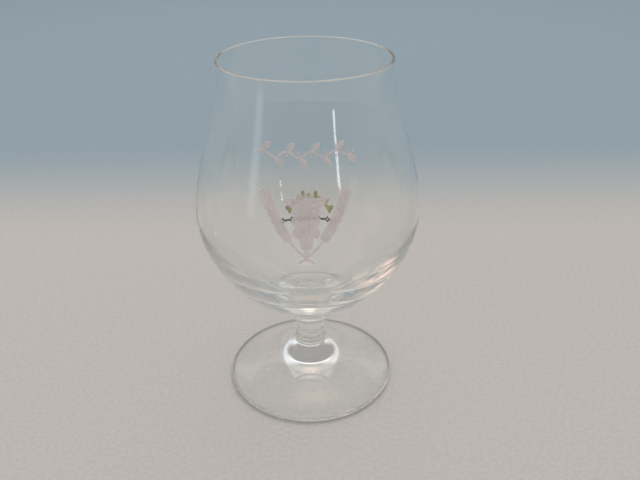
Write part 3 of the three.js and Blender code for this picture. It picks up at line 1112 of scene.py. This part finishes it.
# Lamps: name, azimuth and elevation in degrees, distance, width, height, soft part of the edge,
# brightness, colour. Azimuth 0 is in front of the glass and 90 to its right.
LAMPS = (
    ("back_card", 180, 31, 1.0, 0.9, 0.16, 0.5, 0.65, (1.0, 0.97, 0.97)),
    ("back_warm_card", 180, 50, 1.0, 0.4, 0.26, 0.8, 0.3, (1.0, 0.58, 0.34)),
    ("back_right_card", 146, 33, 1.0, 0.7, 0.40, 0.6, 0.5, (0.84, 0.9, 1.0)),
    ("back_left_card", -146, 33, 1.0, 0.7, 0.40, 0.6, 0.42, (1.0, 0.88, 0.86)),
    ("low_back_card", 180, 8, 1.0, 1.2, 0.30, 0.7, 0.15, (1.0, 0.78, 0.58)),
    ("left_card", -95, 22, 0.9, 0.72, 0.36, 0.6, 0.85, (1.0, 0.66, 0.53)),
    ("left_strip", -55, 6, 0.75, 0.2, 0.42, 0.9, 1.0, (0.78, 0.88, 1.0)),
    ("right_strip", 33, 11, 0.70, 0.03, 0.135, 0.3, 6.0, (1.0, 0.98, 0.97)),
    ("ceiling_card", 176, 68, 1.2, 0.55, 0.40, 1.0, 2.0, (1.0, 0.80, 0.66)),
    ("ceiling_lamp", 90, 89, 1.1, 0.02, 0.02, 0.3, 120.0, (1.0, 0.95, 0.9)),
)
# The key lamp lights the floor and the prints evenly from far off, and does not show in the glass.
KEY_AZIMUTH = 150
KEY_ELEVATION = 62
KEY_DISTANCE = 1.5
KEY_SPREAD = math.radians(50)
KEY_STRENGTH = 1.5


def make_floor(stage):
    """Pale fluffy floor, cooler and darker behind the glass: own cool tone and painted shade of a
    fold.
    """
    mesh = bpy.data.meshes.new("floor")
    corners = [
        (across * FLOOR_HALF, back * FLOOR_HALF, -FLOOR_DROP)
        for across, back in ((-1, -1), (1, -1), (1, 1), (-1, 1))
    ]
    mesh.from_pydata(corners, [], [(0, 1, 2, 3)])
    material = bpy.data.materials.new("pale_floor")
    tree = new_tree(material)
    place = node(tree, "ShaderNodeNewGeometry").outputs["Position"]
    back = node(tree, "ShaderNodeSeparateXYZ", {"Vector": place}).outputs["Y"]
    # The far tone carries painted shade of the fleece's rising fold besides its cool colour.
    tone = mixed(tree, ranged(tree, back, *FLOOR_TURNS_COOL_AND_SHADED, 0, 1), stage.near, stage.far_tone_and_shade)
    fluff = ranged(
        tree, noise(tree, place, FLUFF_SCALE, FLUFF_DETAIL), *FLUFF_SHOWS, *FLUFF_TONE)
    body = node(
        tree,
        "ShaderNodeBsdfPrincipled",
        {
            "Base Color": mixed(tree, 1, tone, fluff, "MULTIPLY"),
            "Roughness": FLOOR_ROUGHNESS,
            "Specular IOR Level": FLOOR_GLOSS,
        })
    node(tree, "ShaderNodeOutputMaterial", {"Surface": body.outputs[0]})
    mesh.materials.append(material)
    floor = bpy.data.objects.new("floor", mesh)
    bpy.context.scene.collection.objects.link(floor)


def make_lamp(name, azimuth, elevation, distance, width, height, softness, brightness, rgb):
    """Lamp with soft edges that looks at the glass."""
    lamp = bpy.data.lights.new(name, "AREA")
    lamp.shape = "RECTANGLE"
    lamp.size = width
    lamp.size_y = height
    lamp.energy = brightness * math.pi * width * height
    lamp.color = rgb
    tree = new_tree(lamp)
    place = node(tree, "ShaderNodeNewGeometry").outputs["Parametric"]
    across = node(tree, "ShaderNodeSeparateXYZ", {"Vector": place})
    falls = []
    for axis in ("X", "Y"):
        from_edge = node(
            tree, "ShaderNodeMath", {0: across.outputs[axis], 1: 0.5}, operation="PINGPONG")
        falls.append(ranged(tree, from_edge.outputs[0], 0, softness / 2, 0, 1))
    glow = node(tree, "ShaderNodeMath", {0: falls[0], 1: falls[1]}, operation="MULTIPLY").outputs[0]
    emission = node(tree, "ShaderNodeEmission", {"Strength": glow})
    node(tree, "ShaderNodeOutputLight", {"Surface": emission.outputs[0]})
    hang(name, lamp, azimuth, elevation, distance)


def hang(name, lamp, azimuth, elevation, distance):
    """Hangs a lamp in its direction, so that it looks at the glass."""
    around = math.radians(azimuth)
    rise = math.radians(elevation)
    level = math.cos(rise)
    way = Vector((math.sin(around) * level, -math.cos(around) * level, math.sin(rise)))
    holder = bpy.data.objects.new(name, lamp)
    holder.location = LAMP_TARGET + distance * way
    holder.rotation_mode = "QUATERNION"
    holder.rotation_quaternion = (-way).to_track_quat("-Z", "Y")
    holder.visible_camera = False
    bpy.context.scene.collection.objects.link(holder)
    return holder


def make_lamps():
    """Soft lamps round the glass and the key lamp."""
    for lamp in LAMPS:
        make_lamp(*lamp)
    lamp = bpy.data.lights.new("key_lamp", "SUN")
    lamp.energy = KEY_STRENGTH
    lamp.angle = KEY_SPREAD
    key = hang("key_lamp", lamp, KEY_AZIMUTH, KEY_ELEVATION, KEY_DISTANCE)
    key.visible_glossy = False
    key.visible_transmission = False


def make_surroundings(scene, stage):
    """Pale light from all round, dim behind the camera and brighter towards the ceiling."""
    world = bpy.data.worlds.new("surroundings")
    tree = new_tree(world)
    way = node(tree, "ShaderNodeTexCoord").outputs["Generated"]
    axes = node(tree, "ShaderNodeSeparateXYZ", {"Vector": way})
    back = ranged(tree, axes.outputs["Y"], *SKY_TURNS_DIM, 0, 1)
    above = ranged(tree, axes.outputs["Z"], *SKY_TURNS_BRIGHT, 0, 1)
    level = mixed(tree, back, stage.front, stage.sky)
    tone = mixed(tree, above, level, stage.ceiling)
    background = node(tree, "ShaderNodeBackground", {"Color": tone, "Strength": 1})
    node(tree, "ShaderNodeOutputWorld", {"Surface": background.outputs[0]})
    scene.world = world


def make_camera(scene):
    """Camera that looks down on the glass from the front."""
    data = bpy.data.cameras.new("camera")
    data.lens = CAMERA_LENS
    data.sensor_width = CAMERA_SENSOR
    data.clip_start = CAMERA_NEAR
    camera = bpy.data.objects.new("camera", data)
    ahead = Vector((0, math.cos(CAMERA_PITCH), -math.sin(CAMERA_PITCH)))
    level_up = Vector((0, math.sin(CAMERA_PITCH), math.cos(CAMERA_PITCH)))
    level_right = Vector((1, 0, 0))
    right = math.cos(CAMERA_ROLL) * level_right + math.sin(CAMERA_ROLL) * level_up
    up = math.cos(CAMERA_ROLL) * level_up - math.sin(CAMERA_ROLL) * level_right
    turn = Matrix((right, up, -ahead)).transposed().to_4x4()
    camera.matrix_world = Matrix.Translation(CAMERA_PLACE) @ turn
    scene.collection.objects.link(camera)
    scene.camera = camera


class BEERGLASS_OT_stage(Operator):
    """Makes the floor, the lamps, the surroundings and the camera"""

    bl_idname = "beer_glass.stage"
    bl_label = "Stage"

    def execute(self, context):
        """Builds the stage round the glass."""
        scene = context.scene
        stage = scene.beer_glass.stage
        make_floor(stage)
        make_lamps()
        make_surroundings(scene, stage)
        make_camera(scene)
        scene.view_settings.view_transform = "Standard"
        scene.cycles.max_bounces = GLASS_BOUNCES
        scene.cycles.glossy_bounces = GLASS_BOUNCES
        scene.cycles.transmission_bounces = GLASS_BOUNCES
        scene.cycles.transparent_max_bounces = GLASS_BOUNCES
        return {"FINISHED"}


STEPS = (
    BEERGLASS_OT_foot,
    BEERGLASS_OT_stem,
    BEERGLASS_OT_bowl,
    BEERGLASS_OT_front_prints,
    BEERGLASS_OT_back_prints,
    BEERGLASS_OT_stage,
)


class BEERGLASS_PT_panel(Panel):
    """Settings and steps of the beer glass"""

    bl_idname = "BEERGLASS_PT_panel"
    bl_label = "Beer glass"
    bl_space_type = "VIEW_3D"
    bl_region_type = "UI"
    bl_category = "Beer glass"

    def draw(self, context):
        """Lists the settings, then the steps in order."""
        settings = context.scene.beer_glass
        for group in ("foot", "stem", "bowl", "prints", "finishes", "stage"):
            box = self.layout.box()
            box.label(text=group.capitalize())
            values = getattr(settings, group)
            for name in values.__annotations__:
                box.prop(values, name)
        for step in STEPS:
            self.layout.operator(step.bl_idname)


CLASSES = (
    FootSizes,
    StemSizes,
    BowlSizes,
    PrintSizes,
    Finishes,
    Stage,
    BeerGlass,
    *STEPS,
    BEERGLASS_PT_panel,
)


def register():
    """Adds the classes and the settings."""
    for each in CLASSES:
        bpy.utils.register_class(each)
    bpy.types.Scene.beer_glass = PointerProperty(
        type=BeerGlass, name="Beer glass", description="Settings of the beer glass")


def unregister():
    """Takes the settings and the classes away."""
    del bpy.types.Scene.beer_glass
    for each in reversed(CLASSES):
        bpy.utils.unregister_class(each)


def main():
    """Builds the glass and its stage."""
    register()
    bpy.ops.beer_glass.foot()
    bpy.ops.beer_glass.stem()
    bpy.ops.beer_glass.bowl()
    bpy.ops.beer_glass.front_prints()
    bpy.ops.beer_glass.back_prints()
    bpy.ops.beer_glass.stage()


if __name__ == "__main__":
    main()
